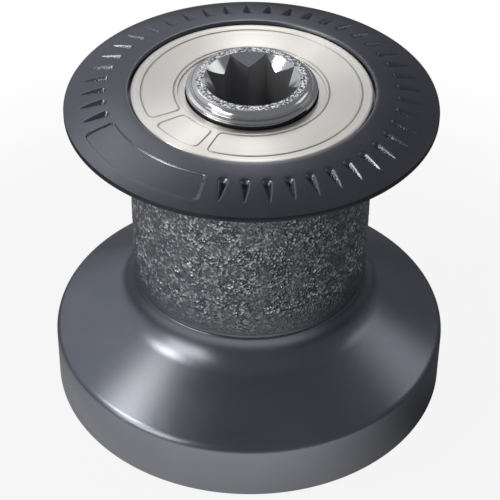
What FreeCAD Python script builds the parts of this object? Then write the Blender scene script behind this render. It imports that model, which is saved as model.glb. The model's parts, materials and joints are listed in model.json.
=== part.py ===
import FreeCAD, Part
import math
import os
import Sketcher

# A small single-speed sailing winch: a one-piece skirted drum turning clockwise on a fixed stem,
# driven through two ratchets by a handle in its star socket. Millimetres, +Z up, deck at z = 0.

SIZES = {
    # skirt and drum, outside
    "deck_gap": 1.2,
    "skirt_radius": 54.4,
    "skirt_wall": 2.9,
    "shoulder_radius": 3.0,
    "cone_angle": 30.0,
    "foot_fillet": 10.4,
    "grip_radius": 32.0,
    "grip_line_height": 36.6,
    "neck_radius": 36.0,
    "neck_flare": 7.0,
    # drum, inside
    "drum_bore": 24.6,
    "hub_recess_radius": 30.0,
    # crown
    "crown_radius": 48.6,
    "crown_rim_depth": 1.7,
    "crown_rim_edge": 0.4,
    "crown_rim_rise": 1.2,
    "crown_lip_radius": 31.9,
    "crown_lip_width": 0.5,
    "crown_lip_height": 7.0,
    "crown_brow_radius": 42.5,
    "crown_brow_height": 4.8,
    "crown_web": 4.8,
    "crown_hole": 17.5,
    "notch_start": 37.4,
    "notch_end": 44.3,
    "notch_half_width": 1.2,
    "notch_floor": 4.5,
    "notch_pitch": 8.0,
    "notch_count": 38,
    "notch_first_angle": 260.0,
    "panel_start_angle": 202.5,
    "panel_sweep": 51.0,
    "panel_outer": 45.3,
    "panel_depth": 0.35,
    # dress plate
    "plate_radius": 31.35,
    "plate_thickness": 1.5,
    "plate_hole": 17.3,
    "plate_step_radius": 19.2,
    "plate_step_depth": 0.4,
    # spindle
    "spindle_radius": 15.5,
    "head_radius": 15.9,
    "head_height": 98.0,
    "head_rise": 10.0,
    "head_shoulder": 1.9,
    "socket_flat_half": 8.73,
    "socket_depth": 36.0,
    "socket_phase": 27.7,
    "socket_mouth": 12.4,
    "drill_depth": 38.0,
    "carrier_radius": 21.5,
    "carrier_height": 10.9,
    "shaft_radius": 10.0,
    "shaft_shoulder_drop": 48.0,
    "shaft_step_radius": 13.8,
    "shaft_chamfer": 0.8,
    "journal_rise": 1.5,
    "journal_lead": 0.5,
    "shoulder_ease": 0.3,
    "drill_point_slope": 0.6,
    "spindle_bottom": 1.5,
    # top retaining ring and the wear washer beneath it
    "ring_height": 1.1,
    "ring_outer": 17.0,
    "ring_drop": 2.2,
    "ring_opening_angle": 325.0,
    "ring_opening": 8.0,
    "groove_depth": 0.8,
    "washer_outer": 16.9,
    # base and stem
    "flange_clearance": 2.5,
    "flange_thickness": 8.0,
    "bolt_inset": 10.0,
    "bolt_count": 5,
    "bolt_hole": 3.3,
    "bolt_head": 5.6,
    "bolt_head_depth": 4.5,
    "hub_radius": 29.4,
    "hub_height": 10.5,
    "stem_radius": 20.1,
    "stem_drop": 12.8,
    "stem_relief": 14.5,
    "underside_radius": 16.0,
    "underside_depth": 5.5,
    "bore_relief": 0.5,
    "pocket_floor_rise": 0.4,
    # bushes, washers and clips
    "upper_bush_radius": 17.0,
    "upper_bush_length": 19.2,
    "upper_bush_flange": 1.0,
    "lower_bush_radius": 12.0,
    "lower_bush_length": 12.0,
    "thrust_washer_thickness": 1.5,
    "thrust_washer_inner": 21.3,
    "bottom_washer_thickness": 1.0,
    "bottom_washer_radius": 14.5,
    "circlip_thickness": 1.1,
    "circlip_radius": 12.4,
    "circlip_groove": 1.1,
    "circlip_opening": 50.0,
    # roller bearings
    "roller_radius": 2.2,
    "roller_length": 12.0,
    "roller_count": 8,
    "cage_inner": 20.7,
    "cage_outer": 24.0,
    "cage_length": 16.0,
    "cage_play": 0.15,
    "cage_setback": 0.5,
    "spacer_gap": 0.25,
    # ratchets
    "tooth_count": 24,
    "tooth_land": 2.0,
    "root_land": 2.5,
    "holding_tip": 31.0,
    "holding_root": 33.4,
    "holding_ring_outer": 40.4,
    "holding_ring_bottom": 10.0,
    "holding_ring_height": 8.0,
    "holding_pivot": 25.2,
    "holding_heel": 2.6,
    "holding_lead": 21.0,
    "holding_reach": 1.5,
    "holding_backlash": 4.8,
    "holding_travel": 16.0,
    "holding_pawl_count": 3,
    "holding_pawl_rise": 0.5,
    "drive_tip": 21.9,
    "drive_root": 23.7,
    "drive_ring_outer": 26.0,
    "drive_ring_height": 9.0,
    "drive_pivot": 17.8,
    "drive_heel": 2.0,
    "drive_lead": 26.0,
    "drive_reach": 1.0,
    "drive_backlash": 5.4,
    "drive_travel": 14.0,
    "drive_pawl_count": 2,
    "pawl_nose": 1.5,
    "pocket_back_angle": 38.5,
    "pocket_end_angle": 9.0,
    "pocket_heel_share": 0.8,
    "spring_wire": 0.4,
    "spring_inset": 1.0,
    "spring_height": 5.0,
    # screws
    "crown_screw_circle": 28.4,
    "crown_screw_radius": 1.5,
    "crown_screw_head": 2.8,
    "crown_screw_length": 10.5,
    "ring_screw_circle": 37.0,
    "ring_screw_radius": 1.5,
    "ring_screw_head": 2.7,
    "ring_screw_length": 12.0,
    "screw_spare": 1.0,
    "screw_head_height": 1.6,
    "screw_count": 4,
    # clearances
    "running": 0.04,
    "rolling": 0.05,
    "seat": 0.02,
    "side_play": 0.1,
    "screw_play": 0.1,
    "pawl_play": 0.15,
    "root_play": 0.3,
}

# Left open past a face so that a cut leaves no skin behind.
BEYOND = 2.0
UPWARDS = FreeCAD.Vector(0, 0, 1)

doc = FreeCAD.newDocument("SailingWinch")
PARTS = []


class Size:
    """A number together with the sheet formula that gives it."""

    def __init__(self, value, formula):
        self.value = float(value)
        self.formula = formula

    @staticmethod
    def of(other):
        return other if isinstance(other, Size) else Size(other, repr(float(other)))

    def __add__(self, other):
        other = Size.of(other)
        return Size(self.value + other.value, f"({self.formula} + {other.formula})")

    def __sub__(self, other):
        other = Size.of(other)
        return Size(self.value - other.value, f"({self.formula} - {other.formula})")

    def __mul__(self, other):
        other = Size.of(other)
        return Size(self.value * other.value, f"({self.formula} * {other.formula})")

    def __truediv__(self, other):
        other = Size.of(other)
        return Size(self.value / other.value, f"({self.formula} / {other.formula})")

    def __radd__(self, other):
        return Size.of(other) + self

    def __rsub__(self, other):
        return Size.of(other) - self

    def __rmul__(self, other):
        return Size.of(other) * self

    def __rtruediv__(self, other):
        return Size.of(other) / self

    def __neg__(self):
        return Size(-self.value, f"(0 - {self.formula})")


def sine(angle):
    angle = Size.of(angle)
    return Size(math.sin(math.radians(angle.value)), f"sin({angle.formula})")


def cosine(angle):
    angle = Size.of(angle)
    return Size(math.cos(math.radians(angle.value)), f"cos({angle.formula})")


def root(size):
    return Size(math.sqrt(size.value), f"sqrt({size.formula})")


def polar(radius, angle):
    return (radius * cosine(angle), radius * sine(angle))


def fill_sheet():
    """Write every driving size into the sheet and hand the sizes back by name."""
    sheet = doc.addObject("Spreadsheet::Sheet", "Sheet")
    for row, (name, value) in enumerate(SIZES.items(), start=1):
        sheet.set(f"A{row}", name)
        sheet.set(f"B{row}", str(value))
        sheet.setAlias(f"B{row}", name)
    doc.recompute()
    return {name: Size(sheet.get(name), f"Sheet.{name}") for name in SIZES}


S = fill_sheet()


# Sketch and feature helpers

def new_body(label):
    body = doc.addObject("PartDesign::Body", label)
    body.Label = label
    PARTS.append(body)
    return body


def origin_feature(body, role):
    return next(item for item in body.Origin.OriginFeatures if item.Role == role)


def new_sketch(body, name, plane="XZ_Plane", lift=None, turn=None):
    """A sketch on an origin plane, lifted along the winch's axis or turned about it."""
    sketch = body.newObject("Sketcher::SketchObject", name)
    sketch.AttachmentSupport = (origin_feature(body, plane), [""])
    sketch.MapMode = "FlatFace"
    upright = FreeCAD.Vector(0, 0, 1) if plane == "XY_Plane" else FreeCAD.Vector(0, 1, 0)
    height = lift.value if lift else 0.0
    angle = turn.value if turn else 0.0
    rotation = FreeCAD.Rotation(upright, angle)
    sketch.AttachmentOffset = FreeCAD.Placement(FreeCAD.Vector(0, 0, height), rotation)
    if lift:
        sketch.setExpression("AttachmentOffset.Base.z", lift.formula)
    if turn:
        sketch.setExpression("AttachmentOffset.Rotation.Angle", turn.formula)
    return sketch


def tie(sketch, kind, geometry, point, size):
    """Hold one coordinate of a point at a size measured from the sketch's origin."""
    size = Size.of(size)
    ends = (-1, 1, geometry, point)
    formula = size.formula
    if size.value < 0:
        ends = (geometry, point, -1, 1)
        formula = (-size).formula
    index = sketch.addConstraint(Sketcher.Constraint(kind, *ends, abs(size.value)))
    sketch.setExpression(f"Constraints[{index}]", formula)


def tie_point(sketch, geometry, point, place):
    tie(sketch, "DistanceX", geometry, point, place[0])
    tie(sketch, "DistanceY", geometry, point, place[1])


def tie_radius(sketch, geometry, radius):
    index = sketch.addConstraint(Sketcher.Constraint("Radius", geometry, radius.value))
    sketch.setExpression(f"Constraints[{index}]", radius.formula)


def vector(place):
    return FreeCAD.Vector(Size.of(place[0]).value, Size.of(place[1]).value, 0)


def arc_between(start, end, radius, side):
    """Arc from start to end with its centre to the left (side 1) or right (side -1) of the way."""
    along = end - start
    across = FreeCAD.Vector(-along.y, along.x, 0).normalize() * side
    reach = math.sqrt(max(radius ** 2 - (along.Length / 2) ** 2, 0.0))
    centre = (start + end) * 0.5 + across * reach
    circle = Part.Circle(centre, FreeCAD.Vector(0, 0, 1), radius)
    first, last = (start, end) if side > 0 else (end, start)
    return Part.ArcOfCircle(circle, circle.parameter(first), circle.parameter(last))


def closed_outline(sketch, corners, rounds=None):
    """Closed outline through the corners; rounds maps a corner to (radius, side) of the arc after it."""
    rounds = rounds or {}
    count = len(corners)
    first = sketch.GeometryCount
    ends = []
    for i in range(count):
        start = vector(corners[i])
        end = vector(corners[(i + 1) % count])
        if i in rounds:
            radius, side = rounds[i]
            index = sketch.addGeometry(arc_between(start, end, radius.value, side), False)
            ends.append((1, 2) if side > 0 else (2, 1))
        else:
            index = sketch.addGeometry(Part.LineSegment(start, end), False)
            ends.append((1, 2))
    for i in range(count):
        after = (i + 1) % count
        join = Sketcher.Constraint("Coincident", first + i, ends[i][1], first + after, ends[after][0])
        sketch.addConstraint(join)
    for i in range(count):
        tie_point(sketch, first + i, ends[i][0], corners[i])
        if i in rounds:
            tie_radius(sketch, first + i, rounds[i][0])
    return first


def circle(sketch, place, radius):
    index = sketch.addGeometry(Part.Circle(vector(place), FreeCAD.Vector(0, 0, 1), radius.value), False)
    tie_point(sketch, index, 3, place)
    tie_radius(sketch, index, radius)


def centre_line(sketch, start, end):
    """Construction line to revolve about."""
    index = sketch.addGeometry(Part.LineSegment(vector(start), vector(end)), True)
    tie_point(sketch, index, 1, start)
    tie_point(sketch, index, 2, end)


def add_feature(body, kind, name, sketch):
    feature = body.newObject(kind, name)
    feature.Profile = sketch
    sketch.Visibility = False
    return feature


def turned(body, name, corners, rounds=None, angle=None, turn=None, cut=False):
    """Outline swept about the winch's axis, added or cut."""
    sketch = new_sketch(body, name + "Outline", turn=turn)
    closed_outline(sketch, corners, rounds)
    kind = "PartDesign::Groove" if cut else "PartDesign::Revolution"
    feature = add_feature(body, kind, name, sketch)
    feature.ReferenceAxis = (sketch, ["V_Axis"])
    feature.Angle = 360.0
    if angle is not None:
        feature.setExpression("Angle", angle.formula)
    return feature


def turned_on_own_axis(body, name, corners, line, rounds=None, cut=False, turn=None):
    """Outline swept about a line of its own, such as a screw's or a roller's."""
    sketch = new_sketch(body, name + "Outline", turn=turn)
    closed_outline(sketch, corners, rounds)
    centre_line(sketch, *line)
    kind = "PartDesign::Groove" if cut else "PartDesign::Revolution"
    feature = add_feature(body, kind, name, sketch)
    feature.ReferenceAxis = (sketch, ["Axis0"])
    feature.Angle = 360.0
    return feature


def cut_down(body, name, sketch, depth):
    feature = add_feature(body, "PartDesign::Pocket", name, sketch)
    feature.Type = "Length"
    feature.setExpression("Length", depth.formula)
    return feature


def raise_up(body, name, sketch, height):
    feature = add_feature(body, "PartDesign::Pad", name, sketch)
    feature.Type = "Length"
    feature.setExpression("Length", height.formula)
    return feature


def repeat_round(body, name, features, count, span=None):
    """Copies of the features round the winch's axis, all the way or over a span."""
    pattern = body.newObject("PartDesign::PolarPattern", name)
    pattern.Originals = features
    pattern.Axis = (origin_feature(body, "Z_Axis"), [""])
    pattern.Angle = 360.0
    if span is not None:
        pattern.setExpression("Angle", span.formula)
    pattern.setExpression("Occurrences", count.formula)
    body.Tip = pattern
    return pattern


# Places that several pieces share

drum_top = S["head_height"] - S["head_rise"]
stem_top = drum_top - S["stem_drop"]
skirt_inner = S["skirt_radius"] - S["skirt_wall"]
flange_radius = skirt_inner - S["flange_clearance"]
hub_top = S["flange_thickness"] + S["hub_height"]
washer_top = hub_top + S["thrust_washer_thickness"]
ring_seat = S["holding_ring_bottom"] + S["holding_ring_height"]
crown_floor = drum_top + S["crown_web"]
plate_top = crown_floor + S["plate_thickness"]
lip_top = drum_top + S["crown_lip_height"]
rim_top = drum_top + S["crown_rim_rise"] + S["crown_rim_depth"]
brow_top = drum_top + S["crown_brow_height"]
notch_floor = drum_top + S["notch_floor"]
bush_top = stem_top + S["upper_bush_flange"]
carrier_bottom = bush_top + S["side_play"]
carrier_top = carrier_bottom + S["carrier_height"]
drive_ring_bottom = drum_top - S["drive_ring_height"]
spring_ring_top = S["head_height"] - S["ring_drop"]
spring_ring_bottom = spring_ring_top - S["ring_height"]
drum_shoulder = washer_top + S["side_play"]
lower_cage_bottom = washer_top + S["cage_play"]
upper_cage_bottom = stem_top - S["cage_length"] - S["cage_setback"]
tooth_pitch = 360.0 / S["tooth_count"]
roller_circle = (S["stem_radius"] + S["drum_bore"]) * 0.5


# Ratchets: each has a toothed ring round sprung pawls that push on its steep flanks. The pawls are
# drawn folded in clear of the teeth, as when a tooth rides over them, and swing out by their travel.

class Ratchet:
    """The sizes of one ratchet; a pawl swung out has its nose at angle 0, a tooth's steep flank behind it."""

    def __init__(self, word):
        self.tip = S[word + "_tip"]
        self.root = S[word + "_root"]
        self.pivot = S[word + "_pivot"]
        self.heel = S[word + "_heel"]
        self.lead = S[word + "_lead"]
        self.flank = -S[word + "_backlash"]
        self.pivot_place = polar(self.pivot, self.lead)
        self.nose_outer = (self.tip + S[word + "_reach"], Size.of(0.0))
        self.nose_inner = (self.tip - S["pawl_nose"], Size.of(0.0))
        self.travel = S[word + "_travel"]

    def folded(self):
        """The turn about the pivot that folds a pawl in."""
        inwards = FreeCAD.Rotation(UPWARDS, -self.travel.value)
        return FreeCAD.Placement(FreeCAD.Vector(), inwards, vector(self.pivot_place))

    def floor(self):
        """The two ends of the pocket's floor, the nose's end first."""
        low = polar(self.pivot - self.heel * S["pocket_heel_share"], -S["pocket_end_angle"])
        return low, (self.pivot_place[0] - self.heel, self.pivot_place[1])


holding = Ratchet("holding")
drive = Ratchet("drive")


def tooth_gaps(body, ratchet, top, height):
    """Saw-tooth gaps: a steep flank at one side, a ramp back to the next tooth's land."""
    inside = ratchet.tip - BEYOND
    flank = ratchet.flank
    ramp_end = flank + tooth_pitch - S["tooth_land"]
    sketch = new_sketch(body, "ToothGapOutline", "XY_Plane", lift=top)
    corners = [
        polar(inside, flank),
        polar(ratchet.root, flank),
        polar(ratchet.root, flank + S["root_land"]),
        polar(ratchet.tip, ramp_end),
        polar(inside, ramp_end),
    ]
    closed_outline(sketch, corners)
    gap = cut_down(body, "ToothGap", sketch, height)
    repeat_round(body, "ToothGaps", [gap], S["tooth_count"])


def tangent_place(ratchet, place, side):
    """Where the line from a place touches the pawl's round heel."""
    pivot = vector(ratchet.pivot_place)
    way = vector(place) - pivot
    swing = math.acos(ratchet.heel.value / way.Length) * side
    angle = math.atan2(way.y, way.x) + swing
    return pivot + FreeCAD.Vector(math.cos(angle), math.sin(angle), 0) * ratchet.heel.value


def pawl(label, ratchet, bottom, height, turn):
    """A pawl with a round heel, two tangent flanks and a nose square to the tooth."""
    body = new_body(label)
    sketch = new_sketch(body, "PawlOutline", "XY_Plane", lift=bottom)
    outer = vector(ratchet.nose_outer)
    inner = vector(ratchet.nose_inner)
    heel_outer = tangent_place(ratchet, ratchet.nose_outer, 1)
    heel_inner = tangent_place(ratchet, ratchet.nose_inner, -1)
    round_heel = Part.Circle(vector(ratchet.pivot_place), UPWARDS, ratchet.heel.value)
    around = (round_heel.parameter(heel_outer), round_heel.parameter(heel_inner))
    sketch.addGeometry(Part.LineSegment(outer, heel_outer), False)
    sketch.addGeometry(Part.ArcOfCircle(round_heel, *around), False)
    sketch.addGeometry(Part.LineSegment(heel_inner, inner), False)
    sketch.addGeometry(Part.LineSegment(inner, outer), False)
    sketch.addConstraint(Sketcher.Constraint("Tangent", 0, 2, 1, 1))
    sketch.addConstraint(Sketcher.Constraint("Tangent", 1, 2, 2, 1))
    sketch.addConstraint(Sketcher.Constraint("Coincident", 2, 2, 3, 1))
    sketch.addConstraint(Sketcher.Constraint("Coincident", 3, 2, 0, 1))
    tie_point(sketch, 1, 3, ratchet.pivot_place)
    tie_radius(sketch, 1, ratchet.heel)
    tie_point(sketch, 0, 1, ratchet.nose_outer)
    tie_point(sketch, 2, 2, ratchet.nose_inner)
    raise_up(body, "Pawl", sketch, height)
    round_the_axis = FreeCAD.Placement(FreeCAD.Vector(), FreeCAD.Rotation(UPWARDS, turn))
    body.Placement = round_the_axis * ratchet.folded()


def pocket_corners(ratchet, outside):
    """The pocket a pawl folds into: along its back, past its nose and under its spring."""
    play = S["pawl_play"]
    nose_x, nose_y = ratchet.nose_outer
    pivot_x, pivot_y = ratchet.pivot_place
    back_x, back_y = polar(ratchet.heel, S["pocket_back_angle"])
    return [
        (pivot_x + back_x, pivot_y + back_y),
        (nose_x + play, nose_y + 4 * play),
        polar(outside, -S["pocket_end_angle"]),
        *ratchet.floor(),
    ]


def pawl_pockets(body, ratchet, top, depth, outside, count):
    floor_sketch = new_sketch(body, "PawlPocketOutline", "XY_Plane", lift=top)
    closed_outline(floor_sketch, pocket_corners(ratchet, outside))
    opening = cut_down(body, "PawlPocket", floor_sketch, depth)
    heel_sketch = new_sketch(body, "HeelSeatOutline", "XY_Plane", lift=top)
    circle(heel_sketch, ratchet.pivot_place, ratchet.heel + S["rolling"])
    heel_seat = cut_down(body, "HeelSeat", heel_sketch, depth)
    repeat_round(body, "PawlPockets", [opening, heel_seat], count)


def strip(start, end, thickness, height):
    """A straight strip of spring wire, as tall as its height, between two places."""
    across = FreeCAD.Vector(start.y - end.y, end.x - start.x, 0).normalize() * (thickness / 2)
    corners = [start + across, end + across, end - across, start - across, start + across]
    return Part.Face(Part.makePolygon(corners)).extrude(FreeCAD.Vector(0, 0, height))


# Where a spring's bend and its end lie along the pawl's inner flank, and how far each stands off it;
# the other end lies along the pocket's floor.
BEND_SHARE = 0.5
TOUCH_SHARE = 0.9
FLOOR_SHARE = 0.12
BEND_PLAY = 0.1
TOUCH_PLAY = 0.06
COIL_SHARE = 1.1


def pawl_spring(label, ratchet, bottom, turn):
    """A hairpin spring pressed between the pocket's floor and the folded pawl's inner flank."""
    wire = S["spring_wire"].value
    height = S["spring_height"].value
    heel_inner = ratchet.folded().multVec(tangent_place(ratchet, ratchet.nose_inner, -1))
    inner = ratchet.folded().multVec(vector(ratchet.nose_inner))
    flank = inner - heel_inner
    away = FreeCAD.Vector(flank.y, -flank.x, 0).normalize()
    if away.dot(heel_inner) > 0:
        away = away * -1
    coil = wire * COIL_SHARE
    bend = heel_inner + flank * BEND_SHARE + away * (coil + BEND_PLAY)
    off_face = wire / 2 + TOUCH_PLAY
    touch = heel_inner + flank * TOUCH_SHARE + away * off_face
    floor_low, floor_high = (vector(end) for end in ratchet.floor())
    floor_way = floor_high - floor_low
    floor_normal = FreeCAD.Vector(floor_way.y, -floor_way.x, 0).normalize()
    floor_end = floor_low + floor_way * FLOOR_SHARE + floor_normal * off_face
    legs = strip(bend, touch, wire, height).fuse(strip(bend, floor_end, wire, height))
    loop = Part.makeCylinder(coil, height, bend)
    spring = doc.addObject("Part::Feature", label)
    spring.Shape = legs.fuse(loop).removeSplitter()
    spring.Label = label
    lift = FreeCAD.Vector(0, 0, (bottom + S["spring_inset"]).value)
    spring.Placement = FreeCAD.Placement(lift, FreeCAD.Rotation(UPWARDS, turn))
    PARTS.append(spring)


# Screws: a flat round head sunk flush with its face, a plain shank

def screw_outline(circle_radius, face, pointing, head, shank, length):
    """Half a screw whose head is flush with a face; pointing is 1 up or -1 down."""
    seat = face + pointing * S["screw_head_height"]
    return [
        (circle_radius, face),
        (circle_radius + head, face),
        (circle_radius + head, seat),
        (circle_radius + shank, seat),
        (circle_radius + shank, face + pointing * length),
        (circle_radius, face + pointing * length),
    ]


def screw_group(label, circle_radius, face, pointing, head, shank, length, count):
    body = new_body(label)
    corners = screw_outline(circle_radius, face, pointing, head, shank, length)
    first = turned_on_own_axis(body, "Screw", corners, (corners[0], corners[-1]))
    repeat_round(body, "Screws", [first], count)


def screw_seats(body, name, circle_radius, face, pointing, head, shank, length, count):
    """Clearance holes with sunk seats for a ring of screws."""
    play = S["screw_play"]
    corners = screw_outline(circle_radius, face, pointing, head + play, shank + play, length)
    hole = turned_on_own_axis(body, name, corners, (corners[0], corners[-1]), cut=True)
    repeat_round(body, name + "Round", [hole], count)


def plain_holes(body, name, circle_radius, top, radius, depth, count):
    sketch = new_sketch(body, name + "Outline", "XY_Plane", lift=top)
    circle(sketch, (circle_radius, Size.of(0.0)), radius)
    hole = cut_down(body, name, sketch, depth)
    repeat_round(body, name + "Round", [hole], count)


# Fixed pieces

def build_stem():
    """Base flange, ratchet hub and hollow stem, in one casting."""
    body = new_body("centre_stem")
    bush_floor = stem_top - S["upper_bush_length"]
    lower_bush_top = S["underside_depth"] + S["lower_bush_length"]
    corners = [
        (S["underside_radius"], Size.of(0.0)),
        (flange_radius, Size.of(0.0)),
        (flange_radius, S["flange_thickness"]),
        (S["hub_radius"], S["flange_thickness"]),
        (S["hub_radius"], hub_top),
        (S["stem_radius"], hub_top),
        (S["stem_radius"], stem_top),
        (S["upper_bush_radius"], stem_top),
        (S["upper_bush_radius"], bush_floor),
        (S["stem_relief"], bush_floor),
        (S["stem_relief"], lower_bush_top + S["bore_relief"]),
        (S["lower_bush_radius"], lower_bush_top + S["bore_relief"]),
        (S["lower_bush_radius"], S["underside_depth"]),
        (S["underside_radius"], S["underside_depth"]),
    ]
    turned(body, "Casting", corners)
    top = S["flange_thickness"]
    bolts = (flange_radius - S["bolt_inset"], top)
    plain_holes(body, "BoltHole", *bolts, S["bolt_hole"], top + BEYOND, S["bolt_count"])
    plain_holes(body, "BoltSeat", *bolts, S["bolt_head"], S["bolt_head_depth"], S["bolt_count"])
    depth = hub_top - S["holding_ring_bottom"] - S["pocket_floor_rise"]
    pawl_pockets(body, holding, hub_top, depth, S["hub_radius"] + BEYOND, S["holding_pawl_count"])


def washer(label, inner, outer, bottom, thickness, angle=None, turn=None):
    body = new_body(label)
    corners = [
        (inner, bottom),
        (outer, bottom),
        (outer, bottom + thickness),
        (inner, bottom + thickness),
    ]
    turned(body, "Ring", corners, angle=angle, turn=turn)


def build_bushes():
    """Two plain bushes in the stem; the upper one has a flange that carries the spindle."""
    upper = new_body("upper_bush")
    bore = S["spindle_radius"] + S["running"]
    outer = S["upper_bush_radius"] - S["seat"]
    floor = stem_top - S["upper_bush_length"]
    corners = [
        (bore, floor),
        (outer, floor),
        (outer, stem_top),
        (S["stem_radius"], stem_top),
        (S["stem_radius"], bush_top),
        (bore, bush_top),
    ]
    turned(upper, "Bush", corners)
    lower_outer = S["lower_bush_radius"] - S["seat"]
    lower_bore = S["shaft_radius"] + S["running"]
    washer("lower_bush", lower_bore, lower_outer, S["underside_depth"], S["lower_bush_length"])


def build_fixed_rings():
    """The thrust washer under the drum and the tube that keeps the roller cages apart."""
    washer("thrust_washer", S["thrust_washer_inner"], S["hub_radius"], hub_top, S["thrust_washer_thickness"])
    gap = S["spacer_gap"]
    bottom = lower_cage_bottom + S["cage_length"] + gap
    height = upper_cage_bottom - bottom - gap
    washer("roller_spacer", S["stem_radius"] + S["rolling"], S["cage_outer"] - S["side_play"], bottom, height)


# Drum and what is fixed to it

def build_drum():
    """Skirt, cone, grip band and flared neck turned in one piece over a stepped bore.

    The skirt is open over the stem's flange only, and solid above it.
    """
    body = new_body("drum")
    slope = S["cone_angle"]
    fall = sine(slope) / cosine(slope)
    fillet = S["foot_fillet"]
    foot_radius = S["grip_radius"] + fillet * (1.0 - sine(slope))
    foot_height = S["grip_line_height"] - fillet * cosine(slope)
    shoulder = S["shoulder_radius"]
    brow_radius = S["skirt_radius"] - shoulder * (1.0 - sine(slope))
    brow_height = foot_height - (brow_radius - foot_radius) * fall
    side_height = brow_height - shoulder * cosine(slope)
    ring_pocket = S["holding_ring_outer"] + S["seat"]
    ring_bore = S["drive_ring_outer"] + S["seat"]
    corners = [
        (skirt_inner, S["deck_gap"]),
        (S["skirt_radius"], S["deck_gap"]),
        (S["skirt_radius"], side_height),
        (brow_radius, brow_height),
        (foot_radius, foot_height),
        (S["grip_radius"], S["grip_line_height"]),
        (S["grip_radius"], drum_top - S["neck_flare"]),
        (S["neck_radius"], drum_top),
        (ring_bore, drum_top),
        (ring_bore, drive_ring_bottom),
        (S["drum_bore"], drive_ring_bottom),
        (S["drum_bore"], drum_shoulder),
        (S["hub_recess_radius"], drum_shoulder),
        (S["hub_recess_radius"], ring_seat),
        (ring_pocket, ring_seat),
        (ring_pocket, S["holding_ring_bottom"]),
        (skirt_inner, S["holding_ring_bottom"]),
    ]
    rounds = {2: (shoulder, 1), 4: (fillet, -1)}
    turned(body, "Shell", corners, rounds)
    screw_hole = S["crown_screw_radius"] + S["seat"]
    thread = S["crown_screw_length"] - S["crown_web"] + S["screw_spare"]
    plain_holes(body, "CrownScrewHole", S["crown_screw_circle"], drum_top, screw_hole, thread,
                S["screw_count"])
    ring_hole = S["ring_screw_radius"] + S["seat"]
    depth = S["ring_screw_length"] - S["holding_ring_height"] + S["screw_spare"]
    plain_holes(body, "RingScrewHole", S["ring_screw_circle"], ring_seat + depth, ring_hole, depth,
                S["screw_count"])


def build_ratchet_rings():
    """Toothed rings: one under the skirt for holding, one in the drum's top for driving."""
    lower = new_body("holding_ratchet_ring")
    corners = [
        (holding.tip, S["holding_ring_bottom"]),
        (S["holding_ring_outer"], S["holding_ring_bottom"]),
        (S["holding_ring_outer"], ring_seat),
        (holding.tip, ring_seat),
    ]
    turned(lower, "Ring", corners)
    tooth_gaps(lower, holding, ring_seat, S["holding_ring_height"])
    screw_seats(lower, "ScrewSeat", S["ring_screw_circle"], S["holding_ring_bottom"], 1,
                S["ring_screw_head"], S["ring_screw_radius"], S["holding_ring_height"] + BEYOND,
                S["screw_count"])
    upper = new_body("drive_ratchet_ring")
    corners = [
        (drive.tip, drive_ring_bottom),
        (S["drive_ring_outer"], drive_ring_bottom),
        (S["drive_ring_outer"], drum_top),
        (drive.tip, drum_top),
    ]
    turned(upper, "Ring", corners)
    tooth_gaps(upper, drive, drum_top, S["drive_ring_height"])
    screw_group("ring_screws", S["ring_screw_circle"], S["holding_ring_bottom"], 1,
                S["ring_screw_head"], S["ring_screw_radius"], S["ring_screw_length"], S["screw_count"])


def crown_surface(radius):
    """Height of the crown's upper face at a radius, on the slope inside or outside its brow."""
    inner = (S["crown_lip_radius"] + S["crown_lip_width"], lip_top)
    brow = (S["crown_brow_radius"], brow_top)
    outer = (S["crown_radius"] - S["crown_rim_edge"], rim_top)
    near, far = (inner, brow) if radius.value < brow[0].value else (brow, outer)
    return near[1] + (far[1] - near[1]) * (radius - near[0]) / (far[0] - near[0])


def build_crown():
    """Notched top flange: sloping face, recess for the dress plate, bare name panel."""
    body = new_body("crown")
    edge = S["crown_rim_edge"]
    rim_bottom = rim_top - S["crown_rim_depth"]
    lip_outer = S["crown_lip_radius"] + S["crown_lip_width"]
    corners = [
        (S["crown_hole"], drum_top),
        (S["neck_radius"], drum_top),
        (S["crown_radius"], rim_bottom),
        (S["crown_radius"], rim_top - edge),
        (S["crown_radius"] - edge, rim_top),
        (S["crown_brow_radius"], brow_top),
        (lip_outer, lip_top),
        (S["crown_lip_radius"], lip_top),
        (S["crown_lip_radius"], crown_floor),
        (S["crown_hole"], crown_floor),
    ]
    turned(body, "Flange", corners)
    half = S["notch_half_width"]
    round_centre = S["notch_start"] + half
    sketch = new_sketch(body, "NotchOutline", "XY_Plane", lip_top, S["notch_first_angle"])
    teardrop = [(round_centre, -half), (S["notch_end"], Size.of(0.0)), (round_centre, half)]
    closed_outline(sketch, teardrop, {2: (half * 1.05, 1)})
    notch = cut_down(body, "Notch", sketch, lip_top - notch_floor)
    span = S["notch_pitch"] * (S["notch_count"] - 1)
    repeat_round(body, "Notches", [notch], S["notch_count"], span)
    sink = S["panel_depth"]
    panel = [
        (S["notch_start"], crown_surface(S["notch_start"]) - sink),
        (S["panel_outer"], crown_surface(S["panel_outer"]) - sink),
        (S["panel_outer"], lip_top),
        (S["notch_start"], lip_top),
    ]
    turned(body, "NamePanel", panel, None, S["panel_sweep"], S["panel_start_angle"], cut=True)
    screw_seats(body, "ScrewSeat", S["crown_screw_circle"], crown_floor, -1, S["crown_screw_head"],
                S["crown_screw_radius"], S["crown_web"] + BEYOND, S["screw_count"])
    screw_group("crown_screws", S["crown_screw_circle"], crown_floor, -1, S["crown_screw_head"],
                S["crown_screw_radius"], S["crown_screw_length"], S["screw_count"])


def build_plate():
    """Thin round plate that hides the crown's screws, stepped round the spindle."""
    body = new_body("dress_plate")
    step_floor = plate_top - S["plate_step_depth"]
    corners = [
        (S["plate_hole"], crown_floor),
        (S["plate_radius"], crown_floor),
        (S["plate_radius"], plate_top),
        (S["plate_step_radius"], plate_top),
        (S["plate_step_radius"], step_floor),
        (S["plate_hole"], step_floor),
    ]
    turned(body, "Disc", corners)


# Spindle and what it carries

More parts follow.
